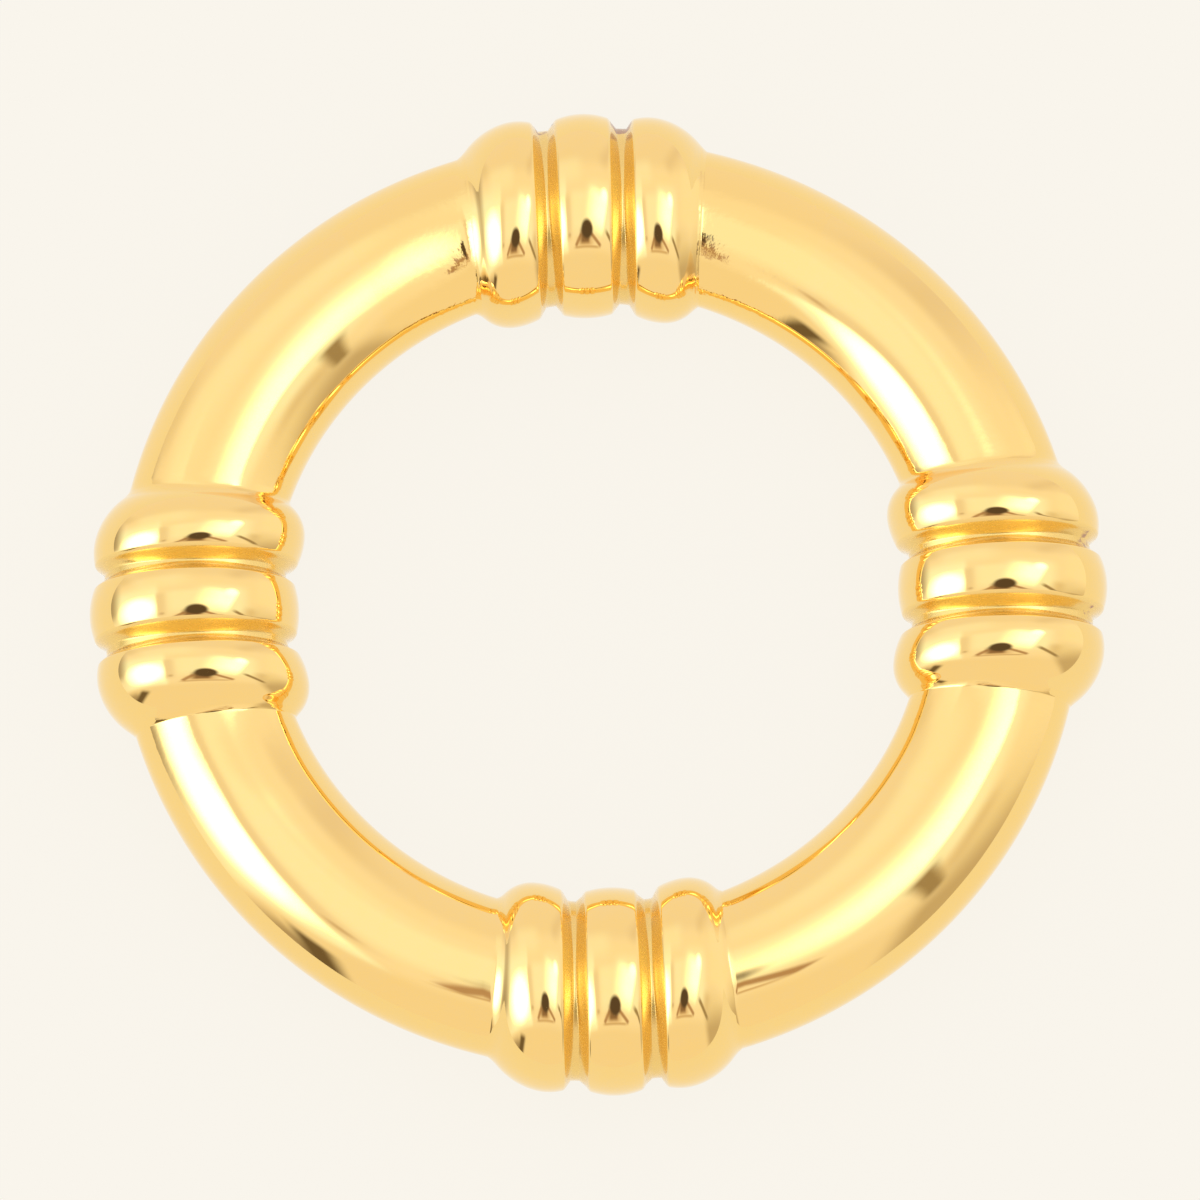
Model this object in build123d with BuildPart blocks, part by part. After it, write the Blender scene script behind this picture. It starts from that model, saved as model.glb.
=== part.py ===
"""A cast scarf ring: a flattened tube bent to a circle, with four clusters of three raised bands.

The ring lies flat. Its origin is its centre, +Z is its axis, and the clusters stand on X and Y.
"""

import os

from build123d import *

# Driving sizes, in millimetres
centreline_radius = 19.88  # from the ring's axis to the middle of the tube
tube_width = 7.74  # plain tube, across the ring's own plane
tube_height = 6.2  # plain tube, from face to face
band_rise = 1.28  # how far a band stands out from the tube, in the ring's own plane
groove_depth = 0.7  # from a band's crest to the floor of the groove beside it
groove_width = 0.34  # floor of the groove between two bands
middle_crest_length = 1.6  # level crest of a cluster's middle band, along the ring
end_crest_length = 0.4  # level crest of a cluster's end band, along the ring
rim_radius = 0.9  # rounding of a band beside a groove
flank_radius = 2.6  # rounding of a cluster's outer ends, which run down to the tube
cluster_count = 4

# Sizes that follow from those above
tube_radius = tube_width / 2
band_radius = tube_radius + band_rise
core_radius = band_radius - groove_depth
flattening = tube_height / tube_width
middle_band_end = middle_crest_length / 2 + rim_radius
end_band_start = middle_band_end + groove_width
end_band_end = end_band_start + rim_radius + end_crest_length + flank_radius
core_end = (end_band_start + end_band_end) / 2


def tube_slice(radius, start, end):
    """A round tube on the ring's centreline, cut by two planes across the ring's +X side."""
    with BuildPart() as piece:
        with BuildSketch(Plane.XZ):
            with Locations((centreline_radius, 0)):
                Circle(radius)
        revolve(axis=Axis.Z)
        with Locations((centreline_radius, (start + end) / 2, 0)):
            Box(4 * radius, end - start, 4 * radius, mode=Mode.INTERSECT)
    return piece.part


def end_edges(piece, end):
    """The edges round a slice's flat end: 0 is the end towards -Y, -1 the end towards +Y."""
    return piece.faces().filter_by(Axis.Y).sort_by(Axis.Y)[end].edges()


# The middle band of a cluster, rounded beside both grooves
with BuildPart() as middle_band:
    add(tube_slice(band_radius, -middle_band_end, middle_band_end))
    fillet(end_edges(middle_band, 0) + end_edges(middle_band, -1), rim_radius)

# The band at a cluster's end: a small rounding at the groove, a large one down to the tube
with BuildPart() as end_band:
    add(tube_slice(band_radius, end_band_start, end_band_end))
    fillet(end_edges(end_band, -1), flank_radius)
    fillet(end_edges(end_band, 0), rim_radius)

# One cluster: the three bands on a core whose surface is the floor of the grooves
with BuildPart() as cluster:
    add(tube_slice(core_radius, -core_end, core_end))
    add(middle_band.part)
    add(end_band.part)
    mirror(end_band.part, about=Plane.XZ)

# The whole ring, while its sections are still round
with BuildPart() as round_ring:
    with BuildSketch(Plane.XZ):
        with Locations((centreline_radius, 0)):
            Circle(tube_radius)
    revolve(axis=Axis.Z)
    with PolarLocations(0, cluster_count):
        add(cluster.part)

# The casting, flattened from face to face
with BuildPart() as ring_casting:
    add(round_ring.part)
    scale(by=(1, 1, flattening))

ring_casting.part.label = "ring_casting"

os.makedirs("parts", exist_ok=True)
export_step(ring_casting.part, "parts/ring_casting.step")
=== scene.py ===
"""The looks of a cast scarf ring: polished gold plate on four clusters of three bands, on a pale floor."""

import math
from typing import NamedTuple

import bpy
import numpy as np
from mathutils import Matrix, Vector


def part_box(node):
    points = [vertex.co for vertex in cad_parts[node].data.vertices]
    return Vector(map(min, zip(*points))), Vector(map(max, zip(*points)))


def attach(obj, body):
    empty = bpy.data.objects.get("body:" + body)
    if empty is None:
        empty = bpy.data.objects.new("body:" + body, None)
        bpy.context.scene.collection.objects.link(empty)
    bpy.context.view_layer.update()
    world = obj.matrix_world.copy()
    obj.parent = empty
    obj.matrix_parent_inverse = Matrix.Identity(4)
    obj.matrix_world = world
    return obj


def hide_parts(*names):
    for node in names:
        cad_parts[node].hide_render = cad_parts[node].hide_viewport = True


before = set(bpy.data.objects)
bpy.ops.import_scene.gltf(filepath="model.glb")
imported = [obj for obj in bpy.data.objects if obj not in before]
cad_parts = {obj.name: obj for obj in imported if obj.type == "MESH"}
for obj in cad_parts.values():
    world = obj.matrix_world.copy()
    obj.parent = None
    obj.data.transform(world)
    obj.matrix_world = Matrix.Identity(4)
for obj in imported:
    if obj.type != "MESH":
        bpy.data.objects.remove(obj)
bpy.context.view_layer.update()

ring_low, ring_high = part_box("ring_casting")

# Sizes of the casting, in metres
tube_radius = 0.00387  # plain tube, in the ring's own plane
face_bend = 0.0044  # bend of the tube's section across the face that shows
side_bend = 0.0021  # the same round the outer and inner rims
bend_change_start = 52  # tilt of the surface from level, in degrees, at which the bend begins to change
bend_change_end = 64  # and at which it has changed
middle_rise = 0.00129  # a cluster's middle band above the tube, in the ring's own plane
end_rise_share = 0.961  # the bands beside it, against the middle one
end_crest = 0.00343  # from a cluster's middle to the crest of an end band
groove_centre = 0.00186  # from a cluster's middle to the middle of a groove
groove_shoulder = 0.00057  # half the width of a groove, at the top of its walls
groove_floor = 0.00003  # floor of a groove above the tube, on the face that shows
groove_floor_rim = 0.00058  # the same at the ring's outer and inner rims, where the grooves are shallower
wall_run = 0.65  # how far a groove's wall leans out for each unit it rises, on the face that shows
wall_run_rim = 0.56  # the same at the rims
middle_crown = 0.0032  # rounding of the middle band along the ring, on the face that shows
middle_crown_rim = 0.0039  # the same at the rims, where the bands are flatter
end_crown = 0.0021  # rounding of an end band towards the groove, on the face that shows
end_crown_rim = 0.0030  # the same at the rims
flank_radius = 0.0025  # rounding of an end band's outer side, on the face that shows
flank_radius_rim = 0.0028  # the same at the rims
flank_slope = math.radians(45)  # steepest part of that side, above the hollow that runs down to the foot
flank_slope_rim = math.radians(48)  # the same at the rims
rim_foot_steepening = 16.0  # how many degrees more steeply an end meets the tube at the rims
dip_start = 0.0056  # from a cluster's middle to where the dip in the tube beside its foot starts
dip_length = 0.005  # and how far along the tube it reaches
dip_bulge = 2.0  # how fast the dip first deepens on its way out; 0 for a dip that is deepest at the foot
shoulder_blend = 0.00014  # soft corner at the top of a groove's wall
floor_blend = 0.00009  # soft corner at the floor of a groove
foot_blend = 0.00002  # soft corner at a foot
lowest_arc = 0.1  # share of its radius above its centre at which an arc ends
band_height_share = 0.997  # a middle band's height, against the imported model's
band_fan = 0.16  # 0 for bands in parallel planes, 1 for bands in planes through the ring's axis
fan_start = 0.004  # from a cluster's middle to where the sections begin to turn into planes through the axis


class Finish(NamedTuple):
    """How one end of a cluster was finished by hand."""

    foot_tilt: float  # degrees at which the end meets the tube; the less, the softer the corner
    dip: float  # how far the tube's face was dressed down beside it, in metres
    ripple: float  # waves in the polish of the tube beside it, from 0 to 1
    residue: float  # polishing compound left in the outer end of its groove, from 0 to 1


class Cluster(NamedTuple):
    """The two ends of a cluster, as they follow each other round the ring."""

    clockwise: Finish
    anticlockwise: Finish


# From the cluster on +X round to the one on -Y
clusters = [
    Cluster(Finish(24, 0.00013, 0.3, 0.6), Finish(10, 0.0, 0.3, 0.65)),
    Cluster(Finish(22, 0.00009, 1.0, 0.9), Finish(13, 0.0002, 0.9, 0.7)),
    Cluster(Finish(8, 0.0, 0.3, 0.2), Finish(24, 0.00014, 0.25, 0.2)),
    Cluster(Finish(14, 0.0, 0.0, 0.3), Finish(20, 0.0, 0.0, 0.45)),
]
ripple_start = 0.0056  # from a cluster's middle to where the waves beside it begin
ripple_length = 0.0055  # and how far along the tube they die out
residue_start = 0.8  # share of the way from the tube's middle to its outer rim at which residue begins
residue_full = 0.9  # and at which it is all there
residue_thinning = 0.0018  # height, about the middle of the outer rim, over which it thins out
groove_edge = 3.0  # how sharply the grooves' own finish ends at their shoulders

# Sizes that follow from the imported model
cluster_count = len(clusters)
centreline_radius = ring_high.x - tube_radius - middle_rise
band_height = ring_high.z * band_height_share

# How finely the casting is meshed
stations_per_sector = 200
points_around = 120
outline_steps = 40000  # steps in which the tube's section is summed up
sector_steps = 16000  # steps along a sector between which the stations are placed
even_share = 4.0  # how much the stations keep to even steps, against how much they crowd at bends
sharpest_bend = 9000.0  # a bend, in radians per metre, past which they crowd no closer

# The finish, with its noise scales per metre and its heights in metres
pale_gold = (1.0, 0.705, 0.23, 1)
red_gold = (1.0, 0.69, 0.21, 1)
tone_scale = 160.0  # patches of one gold in the other
# painted shade: a darker, more orange gold that stands in for the shade and gold-on-gold reflection in the
# grooves
groove_painted_shade = (0.91, 0.62, 0.17, 1)
compound_brown = (0.5, 0.27, 0.15, 1)
compound_metallic = 0.4
speckle_scale = 2600.0  # grain of the polishing compound
mirror_roughness = 0.022
hairline_roughness = 0.05
hairline_scale = (900.0, 5200.0, 5200.0)  # hairlines, which lie along X
groove_roughness = 0.25  # on top of the mirror's
compound_roughness = 0.4  # on top of the groove's
wave_scale = 260.0  # long waves in the polish
wave_height = 0.000006
short_wave_scale = 1500.0  # short waves, beside the feet
short_wave_height = 0.00003

# The camera, as the photograph was taken
camera_elevation = math.radians(73.6)
camera_azimuth = math.radians(-3.2)
camera_roll = math.radians(1.25)
camera_distance = 0.8256
frame_width = 0.05897  # what the picture spans at the ring
sensor_width = 36.0
picture_side = 1200
ring_centre_pixel = (598.7, 601.1)

# The surroundings
floor_reach = 3.0  # from the ring to the floor's edges
nearly_overhead = 0.0001  # keeps the map of the sky finite at its centre


def arc_drop(offset, radius):
    """How far an arc of that radius has fallen at an offset from its crest."""
    return radius - np.sqrt(np.maximum(radius**2 - offset**2, (lowest_arc * radius) ** 2))


def soft_max(a, b, width):
    """The larger of two heights, with the corner between them rounded over that width."""
    share = np.clip(0.5 + 0.5 * (a - b) / width, 0, 1)
    return b + (a - b) * share + width * share * (1 - share)


def soft_min(a, b, width):
    """The smaller of two heights, with the corner between them rounded over that width."""
    return -soft_max(-a, -b, width)


def flank_height(outward, top, outer_radius, slope, foot_tilt):
    """An end band's outer side above the tube: an arc down from the crest, then a hollow arc that meets the
    tube at the foot's tilt and falls below it."""
    hollow_start = outer_radius * np.sin(slope)
    hollow_top = top - outer_radius * (1 - np.cos(slope))
    hollow_radius = hollow_top / (np.cos(foot_tilt) - np.cos(slope))
    hollow_end = hollow_start + hollow_radius * np.sin(slope)
    hollow_floor = -hollow_radius * (1 - np.cos(foot_tilt))
    before_end = np.clip(hollow_end - outward, 0, hollow_radius * np.sin(slope))
    hollow_arc = hollow_floor + hollow_radius - np.sqrt(hollow_radius**2 - before_end**2)
    return np.where(outward < hollow_start, top - arc_drop(outward, outer_radius), hollow_arc)


def tube_outline():
    """The tube's section: how far out and how high each point stands. Points are evenly spread by the way
    the surface faces, from the outer rim up and round."""
    facing = np.linspace(0, 2 * math.pi, outline_steps + 1)
    tilt = np.degrees(np.arcsin(np.abs(np.cos(facing))))
    share = np.clip((tilt - bend_change_start) / (bend_change_end - bend_change_start), 0, 1)
    bend = face_bend + (side_bend - face_bend) * share**2 * (3 - 2 * share)
    step = facing[1]
    out = -np.cumsum(bend * np.sin(facing)) * step
    up = np.cumsum(bend * np.cos(facing)) * step
    out = out - (out.max() + out.min()) / 2
    up = up - (up.max() + up.min()) / 2
    chosen = np.linspace(0, 2 * math.pi, points_around, endpoint=False)
    size = tube_radius / out.max()
    return np.interp(chosen, facing, out) * size, np.interp(chosen, facing, up) * size


def band_outline():
    """A middle band's section at its crest, an ellipse, with its points spread as the tube's are."""
    facing = np.linspace(0, 2 * math.pi, points_around, endpoint=False)
    width = tube_radius + middle_rise
    reach = np.hypot(width * np.cos(facing), band_height * np.sin(facing))
    return width**2 * np.cos(facing) / reach, band_height**2 * np.sin(facing) / reach


def at_end(distance, cluster, name):
    """A value of the finish at the end of the cluster that a distance lies towards."""
    return np.where(distance < 0, getattr(cluster.clockwise, name), getattr(cluster.anticlockwise, name))


def rise_share(distance, towards_rim, face_rise, cluster):
    """How far the casting stands above the tube at a distance along the ring from a cluster's middle, against
    the middle band; towards_rim is 0 on the face that shows and 1 at the rims."""

    def here(face_value, rim_value):
        return face_value + (rim_value - face_value) * towards_rim

    d = np.abs(distance)
    top = here(face_rise, middle_rise)
    end_top = top * end_rise_share
    run = here(wall_run, wall_run_rim)
    middle_rounding = here(middle_crown, middle_crown_rim)
    end_rounding = here(end_crown, end_crown_rim)
    inner_shoulder = groove_centre - groove_shoulder
    outer_shoulder = end_crest - groove_centre - groove_shoulder
    middle_wall = top - arc_drop(inner_shoulder, middle_rounding) - (d - inner_shoulder) / run
    middle = soft_min(top - arc_drop(d, middle_rounding), middle_wall, shoulder_blend)
    inward = np.maximum(end_crest - d, 0)
    end_wall = end_top - arc_drop(outer_shoulder, end_rounding) - (inward - outer_shoulder) / run
    inner_side = soft_min(end_top - arc_drop(inward, end_rounding), end_wall, shoulder_blend)
    bands = soft_max(np.maximum(middle, inner_side), here(groove_floor, groove_floor_rim), floor_blend)

    foot_tilt = np.radians(at_end(distance, cluster, "foot_tilt") + here(0, rim_foot_steepening))
    dip = here(at_end(distance, cluster, "dip"), 0)
    past_foot = np.clip((d - dip_start) / dip_length, 0, 1)
    tube = -dip * (1 - past_foot) ** 2 * (1 + (2 + dip_bulge) * past_foot)
    outward = np.maximum(d - end_crest, 0)
    outer_radius = here(flank_radius, flank_radius_rim)
    slope = here(flank_slope, flank_slope_rim)
    flank = flank_height(outward, end_top + dip, outer_radius, slope, foot_tilt) - dip
    flank = soft_max(flank, tube, foot_blend)
    return np.where(d < end_crest, bands, flank) / top


def stations(face_rise, cluster):
    """Distances along a sector from its cluster's middle, closest together where the surface bends most, and
    how far the sector reaches."""
    reach = centreline_radius * math.sin(math.pi / cluster_count)
    fine = np.linspace(-reach, reach, sector_steps + 1)
    height = rise_share(fine, 0, face_rise, cluster) * face_rise
    slope = np.arctan(np.gradient(height, fine))
    bend = np.abs(np.gradient(slope, fine))
    crowding = even_share / reach + np.minimum(bend, sharpest_bend)
    spent = np.concatenate([[0], np.cumsum(crowding[1:] + crowding[:-1])])
    spent = spent / spent[-1] * stations_per_sector
    return np.interp(np.arange(stations_per_sector), spent, fine), reach


def sector_points(cluster):
    """The casting's surface from one sector end to the next, round the cluster on +X, and its marks: how far
    each point lies in a groove, in waves and in residue, from 0 to 1."""
    tube_out, tube_up = tube_outline()
    band_out, band_up = band_outline()
    face_rise = band_up.max() - tube_up.max()
    distance, reach = stations(face_rise, cluster)
    distance = distance[:, None]
    d = np.abs(distance)
    share = rise_share(distance, (tube_out / tube_radius) ** 2, face_rise, cluster)
    radius = centreline_radius + tube_out + (band_out - tube_out) * share
    fan = band_fan + (1 - band_fan) * np.clip((d - fan_start) / (reach - fan_start), 0, 1)
    y = distance * (radius / centreline_radius) ** fan
    x = np.sqrt(radius**2 - y**2)
    z = tube_up + (band_up - tube_up) * share

    groove = np.clip(0.5 + groove_edge * (1 - np.abs(d - groove_centre) / groove_shoulder), 0, 1)
    ripple = np.clip(1 - (d - ripple_start) / ripple_length, 0, 1) * (d > ripple_start)
    ripple = ripple * at_end(distance, cluster, "ripple")
    outer_end = np.clip((tube_out / tube_radius - residue_start) / (residue_full - residue_start), 0, 1)
    outer_end = outer_end * np.clip(0.5 + tube_up / residue_thinning, 0, 1)
    residue = groove * outer_end * at_end(distance, cluster, "residue")
    whole = np.ones_like(share)
    marks = {"groove": groove * whole, "ripple": ripple * whole, "residue": residue}
    return np.stack([x, y, z], -1), marks


def casting_mesh():
    """The whole casting as one closed mesh of quads, with its marks as attributes."""
    sectors = []
    marks = {"groove": [], "ripple": [], "residue": []}
    for k, cluster in enumerate(clusters):
        turn = np.array(Matrix.Rotation(2 * math.pi * k / cluster_count, 3, "Z"))
        sector, sector_marks = sector_points(cluster)
        sectors.append(sector @ turn.T)
        for name, values in sector_marks.items():
            marks[name].append(values)
    points = np.concatenate(sectors)
    along, around = points.shape[:2]
    index = np.arange(along * around).reshape(along, around)
    after = np.roll(index, -1, 0)
    quads = np.stack([index, after, np.roll(after, -1, 1), np.roll(index, -1, 1)], -1).reshape(-1, 4)
    mesh = bpy.data.meshes.new("ring_casting_surface")
    mesh.from_pydata(points.reshape(-1, 3).tolist(), [], quads.tolist())
    mesh.polygons.foreach_set("use_smooth", np.ones(len(mesh.polygons), bool))
    for name, values in marks.items():
        attribute = mesh.attributes.new(name, "FLOAT", "POINT")
        attribute.data.foreach_set("value", np.concatenate(values).ravel().astype(np.float32))
    mesh.update()
    return mesh


class Tree:
    """A node tree, and short calls that add its nodes and join them."""

    def __init__(self, tree):
        self.tree = tree

    def add(self, kind, inputs=(), **settings):
        node = self.tree.nodes.new(kind)
        for name, value in settings.items():
            setattr(node, name, value)
        for key, value in dict(inputs).items():
            self.put(value, node.inputs[key])
        return node

    def put(self, value, socket):
        if isinstance(value, bpy.types.NodeSocket):
            self.tree.links.new(value, socket)
        else:
            socket.default_value = value

    def math(self, operation, *values):
        return self.add("ShaderNodeMath", dict(enumerate(values)), operation=operation).outputs[0]

    def vector(self, operation, *vectors):
        return self.add("ShaderNodeVectorMath", dict(enumerate(vectors)), operation=operation)

    def mark(self, name):
        """One of the casting's marks."""
        return self.add("ShaderNodeAttribute", attribute_name=name).outputs["Fac"]

    def step(self, value, start, stop):
        """0 before start and 1 after stop, with a smooth rise between."""
        inputs = {"Value": value, "From Min": start, "From Max": stop, "To Min": 0.0, "To Max": 1.0}
        return self.add("ShaderNodeMapRange", inputs, interpolation_type="SMOOTHSTEP").outputs["Result"]

    def noise(self, place, scale, detail=2.0):
        inputs = {"Vector": place, "Scale": scale, "Detail": detail}
        return self.add("ShaderNodeTexNoise", inputs).outputs["Fac"]

    def range(self, share, low, high):
        """From low where share is 0 to high where it is 1."""
        return self.math("MULTIPLY_ADD", share, high - low, low)

    def bump(self, height, distance, normal=None):
        node = self.add("ShaderNodeBump", {"Height": height, "Distance": distance})
        if normal is not None:
            self.put(normal, node.inputs["Normal"])
        return node.outputs["Normal"]

    def mix(self, share, below, above):
        node = self.add("ShaderNodeMix", data_type="RGBA")
        for value, socket in ((share, node.inputs[0]), (below, node.inputs[6]), (above, node.inputs[7])):
            self.put(value, socket)
        return node.outputs[2]


def shaded_material(name, settings):
    """A new material and its shader, with the sockets set that are the same all over."""
    material = bpy.data.materials.new(name)
    material.use_nodes = True
    shader = material.node_tree.nodes["Principled BSDF"]
    for socket, value in settings.items():
        shader.inputs[socket].default_value = value
    return material, shader


def gold_material():
    """Polished gold plate: a mirror with faint waves and hairlines, duller in the grooves, where painted
    shade darkens the colour.
    """
    clear_coat = {"Coat Weight": 1.0, "Coat IOR": 1.6, "Coat Roughness": 0.02}
    material, shader = shaded_material("gold_plate", clear_coat)
    tree = Tree(material.node_tree)
    place = tree.add("ShaderNodeTexCoord").outputs["Object"]
    groove, ripple, residue = map(tree.mark, ("groove", "ripple", "residue"))
    speckle = tree.noise(place, speckle_scale, 3.0)
    compound = tree.step(tree.math("ADD", residue, speckle), 1.12, 1.3)

    # Colour: a little redder from place to place, a darker, more orange gold in the grooves as painted shade,
    # dull where compound is left
    plate = tree.mix(tree.noise(place, tone_scale), pale_gold, red_gold)
    plate = tree.mix(groove, plate, groove_painted_shade)
    tree.put(tree.mix(compound, plate, compound_brown), shader.inputs["Base Color"])
    tree.put(tree.range(compound, 1.0, compound_metallic), shader.inputs["Metallic"])

    # Gloss: hairlines run along the polishing cloth's way, and the grooves are out of its reach
    across_cloth = tree.add("ShaderNodeMapping", {"Vector": place, "Scale": hairline_scale}).outputs[0]
    hairlines = tree.step(tree.noise(across_cloth, 1.0, 4.0), 0.42, 0.75)
    polish = tree.range(hairlines, mirror_roughness, hairline_roughness)
    polish = tree.math("ADD", polish, tree.range(groove, 0.0, groove_roughness))
    polish = tree.math("ADD", polish, tree.range(compound, 0.0, compound_roughness))
    tree.put(polish, shader.inputs["Roughness"])

    # Form: long faint waves all over, and short ones on the tube beside the feet
    waves = tree.bump(tree.noise(place, wave_scale), wave_height)
    short_waves = tree.math("MULTIPLY", tree.noise(place, short_wave_scale, 3.0), ripple)
    tree.put(tree.bump(short_waves, short_wave_height, waves), shader.inputs["Normal"])
    return material


def build_floor():
    """A plain pale floor under the ring. Most of its light is its own, so the ring's shadow stays faint."""
    plain_and_bright = {
        "Base Color": (0.06, 0.058, 0.054, 1),
        "Roughness": 0.9,
        "Specular IOR Level": 0.0,
        "Emission Color": (0.965, 0.93, 0.855, 1),
        "Emission Strength": 0.92,
    }
    material, _ = shaded_material("pale_floor", plain_and_bright)
    corners = [(x * floor_reach, y * floor_reach, 0) for x, y in ((-1, -1), (1, -1), (1, 1), (-1, 1))]
    mesh = bpy.data.meshes.new("floor_surface")
    mesh.from_pydata(corners, [], [(0, 1, 2, 3)])
    mesh.materials.append(material)
    floor = bpy.data.objects.new("floor", mesh)
    floor.location.z = ring_low.z
    bpy.context.scene.collection.objects.link(floor)


class Panel(NamedTuple):
    """A part of the studio round the ring. Places and sizes are degrees on a map of the sky with overhead at
    its centre, +X to the right and +Y up."""

    centre: tuple
    half: tuple  # half its width and half its height
    turn: float  # anticlockwise
    fade: tuple  # how softly its left, right, lower and upper edges end
    light: tuple
    is_round: bool = False


tent_light = (1.02, 0.985, 1.0)

# The studio, from its plain surround to the smallest things in it; each covers those before it
studio = {
    "upper_surround": Panel((0, 95), (130, 50), 0, (9, 9, 9, 9), (0.95, 0.9, 0.9)),
    "upper_shade": Panel((46, 60), (20, 7), 45, (9, 9, 9, 9), (0.86, 0.79, 0.77)),
    "upper_left_shade": Panel((-67, 58), (9, 7), -60, (9, 9, 6, 6), (0.86, 0.8, 0.74)),
    "upper_glow": Panel((-30, 39), (24, 11), 0, (9, 12, 9, 9), (1.02, 1.06, 1.12)),
    "right_surround": Panel((95, 25), (35, 25), 0, (8, 9, 8, 8), (1.03, 1.02, 1.0)),
    "lower_right_surround": Panel((95, -23), (42, 15), 0, (12, 9, 9, 14), (0.9, 0.85, 0.78)),
    "lower_surround": Panel((0, -85), (100, 47), 0, (9, 9, 5, 9), (0.95, 0.885, 0.825)),
    "left_glow": Panel((-56, -4), (24, 33.5), 0, (14, 3, 4, 12), (1.03, 1.24, 1.38)),
    "far_left_shade": Panel((-88, 22), (9, 34), -8, (9, 9, 12, 9), (0.44, 0.4, 0.37)),
    "left_softbox": Panel((-52, -9), (17, 20.5), 0, (12, 3, 5, 8), (1.9, 2.0, 2.05)),
    "left_softbox_lamp": Panel((-54, -10), (18.5, 20), 0, (12, 6, 7, 9), (4.0, 4.0, 4.0), True),
    "overhead_glow": Panel((8, -1), (32, 19), 0, (8, 9, 10, 6), (1.03, 1.12, 1.2)),
    "right_glow": Panel((27, 3), (20, 22), 0, (12, 10, 10, 9), (1.03, 1.17, 1.3)),
    "right_softbox": Panel((24, 1.5), (11.5, 15), -18, (15, 3, 12, 6), (2.75, 2.7, 2.65)),
    "right_softbox_corner": Panel((34, 15), (5.5, 5.8), 0, (4, 2.5, 4, 3), (3.3, 3.25, 3.15), True),
    "softbox_edge": Panel((-29.5, -5), (4, 21), 0, (2, 4, 4, 6), (0.92, 0.87, 0.88)),
    "right_shade": Panel((53, -20), (6, 9), -10, (7, 6, 6, 6), (0.82, 0.75, 0.68)),
    "right_dark_surround": Panel((90.5, -45), (32, 24), 23, (7, 9, 8, 14), (0.6, 0.52, 0.44)),
    "right_stand": Panel((46, -26), (13, 2.3), -40, (4, 4, 1.5, 1.5), (0.38, 0.31, 0.23)),
    "left_stand": Panel((-29, -21), (2, 2), 0, (2, 2, 2, 2), (0.7, 0.6, 0.55), True),
    "left_dark_surround": Panel((-86, -63), (21, 17), 0, (8, 4, 9, 7), (0.46, 0.39, 0.33)),
    "left_cloth": Panel((-63, -58.5), (15, 5.5), 62, (6, 4, 3.5, 3.5), (0.17, 0.13, 0.09)),
    "camera_stand_foot": Panel((1, -34.5), (21, 1.3), 0, (5, 5, 1.5, 1), (0.7, 0.56, 0.46)),
    "camera_stand_shade": Panel((-1.5, -28.5), (12, 4.5), 0, (8, 8, 2.5, 3), (0.74, 0.58, 0.48)),
    "camera_stand_left_leg": Panel((-13.5, -27), (8, 2.2), 48, (2, 2, 1.5, 1.5), (0.52, 0.36, 0.28)),
    "camera_stand_right_leg": Panel((17, -27), (10.5, 2.1), -35, (2, 2, 1.5, 1.5), (0.5, 0.34, 0.26)),
    "camera_stand_column": Panel((-2, -23.5), (7.5, 7), 0, (4, 3, 2.5, 3), (0.29, 0.19, 0.14)),
    "camera_front": Panel((2, -17), (10, 9.3), 0, (2.5, 2.5, 2.5, 2.5), (0.11, 0.08, 0.065), True),
}


def build_world():
    """The studio, as light that comes from all round."""
    world = bpy.data.worlds.new("studio")
    world.use_nodes = True
    bpy.context.scene.world = world
    tree = Tree(world.node_tree)
    sky = tree.add("ShaderNodeTexCoord").outputs["Generated"]
    x, y, z = tree.add("ShaderNodeSeparateXYZ", {0: sky}).outputs
    across = tree.math("SQRT", tree.math("MULTIPLY_ADD", x, x, tree.math("MULTIPLY", y, y)))
    from_overhead = tree.math("DEGREES", tree.math("ARCCOSINE", z))
    stretch = tree.math("DIVIDE", from_overhead, tree.math("MAXIMUM", across, nearly_overhead))
    flat = tree.add("ShaderNodeCombineXYZ", {0: x, 1: y}).outputs[0]
    place = tree.add("ShaderNodeVectorMath", {0: flat, "Scale": stretch}, operation="SCALE").outputs[0]

    colour = (*tent_light, 1)
    for panel in studio.values():
        colour = tree.mix(panel_share(tree, place, panel), colour, (*panel.light, 1))
    seen = world.node_tree.nodes["Background"]
    tree.put(colour, seen.inputs["Color"])

    # The dull floor needs no panels, so it gets plain light, and no ray is sent to look for bright panels
    plain = tree.add("ShaderNodeBackground", {"Color": (*tent_light, 1)})
    dull_ray = tree.add("ShaderNodeLightPath").outputs["Is Diffuse Ray"]
    either = tree.add("ShaderNodeMixShader", {0: dull_ray, 1: seen.outputs[0], 2: plain.outputs[0]})
    tree.put(either.outputs[0], world.node_tree.nodes["World Output"].inputs["Surface"])
    world.cycles.sampling_method = "NONE"


def panel_share(tree, place, panel):
    """How much of a panel is seen at a place of the map, from 0 to 1."""
    inputs = {"Vector": place, "Location": (*panel.centre, 0), "Rotation": (0, 0, math.radians(panel.turn))}
    inside = tree.add("ShaderNodeMapping", inputs, vector_type="TEXTURE").outputs[0]
    return round_share(tree, inside, panel) if panel.is_round else square_share(tree, inside, panel)


def sides(tree, vector, panel):
    """For a panel's left, right, lower and upper side: how far the vector reaches across or up, the side's
    sign there, half the panel's size and the side's fade."""
    across, up, _ = tree.add("ShaderNodeSeparateXYZ", {0: vector}).outputs
    width, height = panel.half
    return zip((across, across, up, up), (-1, 1, -1, 1), (width, width, height, height), panel.fade)


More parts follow.
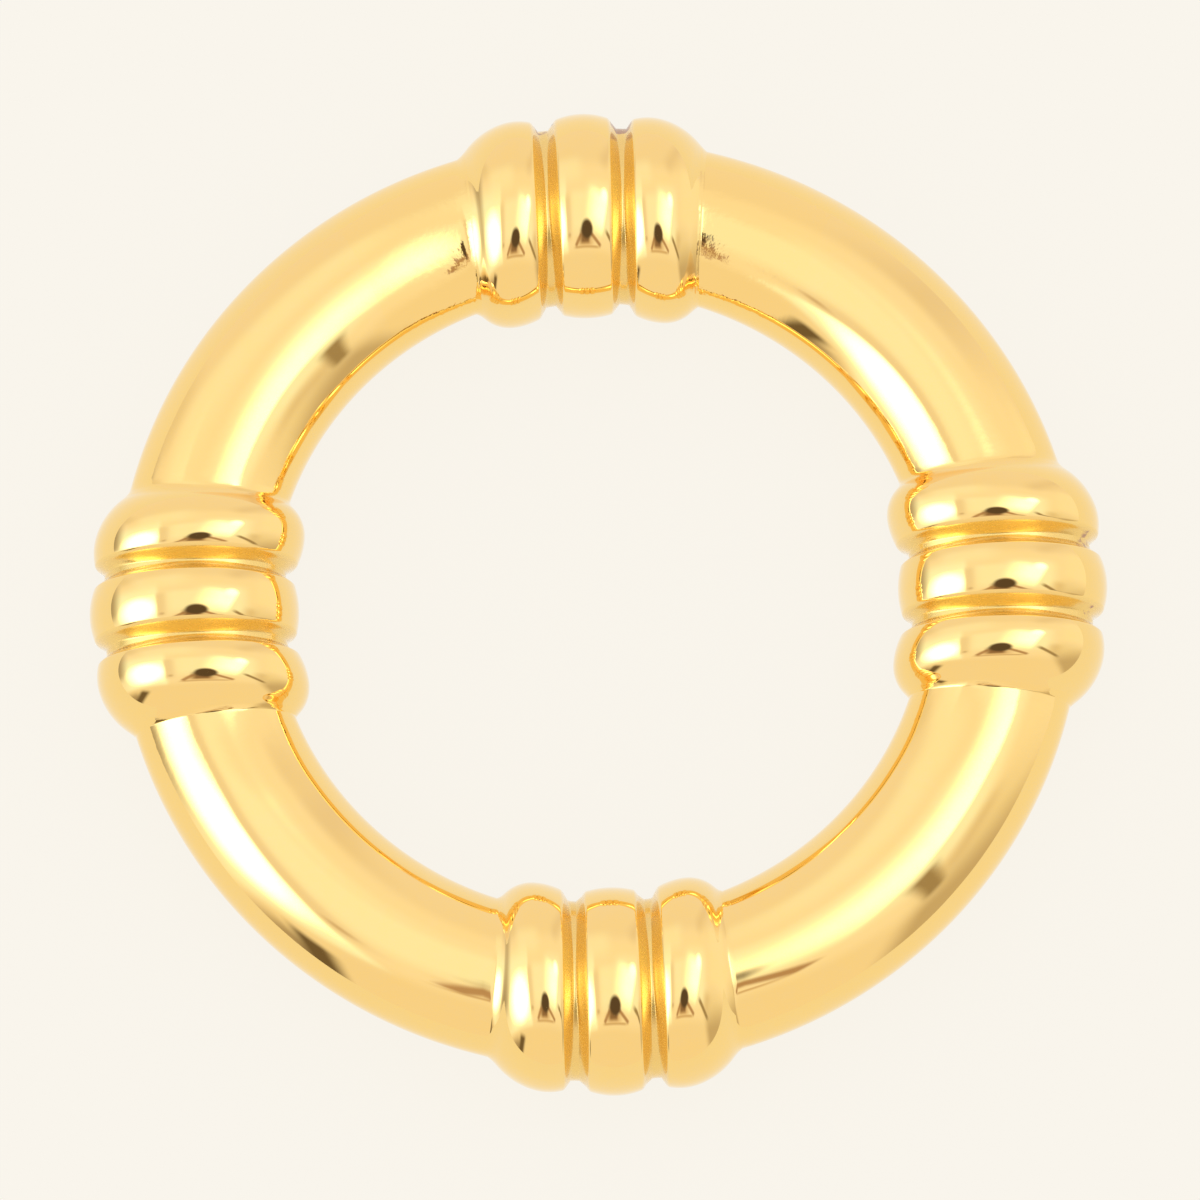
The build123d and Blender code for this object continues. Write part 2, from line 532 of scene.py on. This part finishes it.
def square_share(tree, inside, panel):
    """Each edge fades on its own."""
    shares = [
        tree.step(reach, sign * (half + fade), sign * (half - fade))
        for reach, sign, half, fade in sides(tree, inside, panel)
    ]
    share = shares[0]
    for other in shares[1:]:
        share = tree.math("MULTIPLY", share, other)
    return share


def round_share(tree, inside, panel):
    """The edge's softness turns smoothly from one side's fade to the next's."""
    width, height = panel.half
    unit = tree.vector("MULTIPLY", inside, (1 / width, 1 / height, 0)).outputs["Vector"]
    distance = tree.vector("LENGTH", unit).outputs["Value"]
    outward = tree.vector("NORMALIZE", unit).outputs["Vector"]
    softness = 0.0
    for reach, sign, half, fade in sides(tree, outward, panel):
        towards = tree.math("MAXIMUM", tree.math("MULTIPLY", reach, sign), 0.0)
        softness = tree.math("MULTIPLY_ADD", tree.math("MULTIPLY", towards, towards), fade / half, softness)
    return tree.step(distance, tree.math("ADD", 1.0, softness), tree.math("SUBTRACT", 1.0, softness))


def build_camera():
    data = bpy.data.cameras.new("camera")
    data.sensor_width = sensor_width
    data.lens = sensor_width * camera_distance / frame_width
    data.shift_x = (picture_side / 2 - ring_centre_pixel[0]) / picture_side
    data.shift_y = (ring_centre_pixel[1] - picture_side / 2) / picture_side
    camera = bpy.data.objects.new("camera", data)
    direction = Vector((
        math.sin(camera_azimuth) * math.cos(camera_elevation),
        -math.cos(camera_azimuth) * math.cos(camera_elevation),
        math.sin(camera_elevation),
    ))
    facing = (-direction).to_track_quat("-Z", "Y").to_matrix().to_4x4()
    place = Matrix.Translation(camera_distance * direction)
    camera.matrix_world = place @ facing @ Matrix.Rotation(camera_roll, 4, "Z")
    bpy.context.scene.collection.objects.link(camera)
    bpy.context.scene.camera = camera


def build_casting():
    casting = bpy.data.objects.new("scarf_ring_casting", casting_mesh())
    casting.data.materials.append(gold_material())
    bpy.context.scene.collection.objects.link(casting)
    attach(casting, "root")
    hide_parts("ring_casting")


build_camera()
build_casting()
build_floor()
build_world()
bpy.context.scene.view_settings.view_transform = "Standard"
